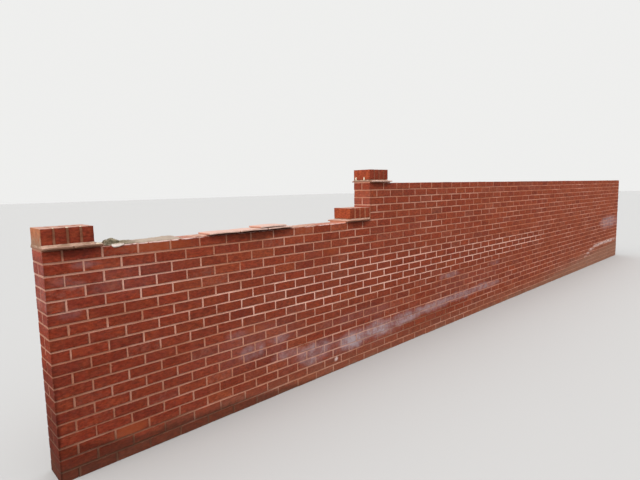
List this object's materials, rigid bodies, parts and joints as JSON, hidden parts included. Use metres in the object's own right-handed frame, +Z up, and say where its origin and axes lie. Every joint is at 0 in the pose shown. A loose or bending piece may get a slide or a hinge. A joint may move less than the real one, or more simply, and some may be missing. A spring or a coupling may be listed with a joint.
{
  "type": "brick garden wall",
  "caption": "Free-standing garden wall one brick thick in stretcher bond, with stopped ends, a step up in height, and short first blocks of brick-on-edge coping over clay creasing tiles",
  "frame": {"origin": "middle of the wall's length and thickness, at the underside of the lowest course", "axes": "+X along the wall from the low end to the high end, +Y from the front face to the back face, +Z up"},
  "size_m": [12.14, 0.265, 1.9245],
  "materials": {
    "brick": "rough fired red clay",
    "coping_brick": "rough fired red clay",
    "creasing_tile": "dusty fired clay",
    "mortar": "set sand mortar, pinkish",
    "fresh_mortar": "damp sand mortar, buff"
  },
  "bodies": {
    "root": {"low_front_leaf": "brick", "low_back_leaf": "brick", "low_collar_joint": "mortar", "high_front_leaf": "brick", "high_back_leaf": "brick", "high_collar_joint": "mortar", "near_end_ties": "brick", "step_end_ties": "brick", "far_end_ties": "brick", "near_tile_bed": "mortar", "near_tiles": "creasing_tile", "near_coping_bed": "fresh_mortar", "near_coping_bricks": "coping_brick", "near_coping_joints": "fresh_mortar", "foot_tile_bed": "mortar", "foot_tiles": "creasing_tile", "foot_coping_bed": "fresh_mortar", "foot_coping_bricks": "coping_brick", "foot_coping_joints": "fresh_mortar", "head_tile_bed": "mortar", "head_tiles": "creasing_tile", "head_coping_bed": "fresh_mortar", "head_coping_bricks": "coping_brick", "head_coping_joints": "fresh_mortar", "run_bed": "fresh_mortar", "run_tiles": "creasing_tile", "upper_tile_bed": "fresh_mortar", "upper_tile": "creasing_tile", "spread_mortar": "fresh_mortar", "mortar_heap": "fresh_mortar", "drooping_mortar": "fresh_mortar"}
  },
  "joints": []
}
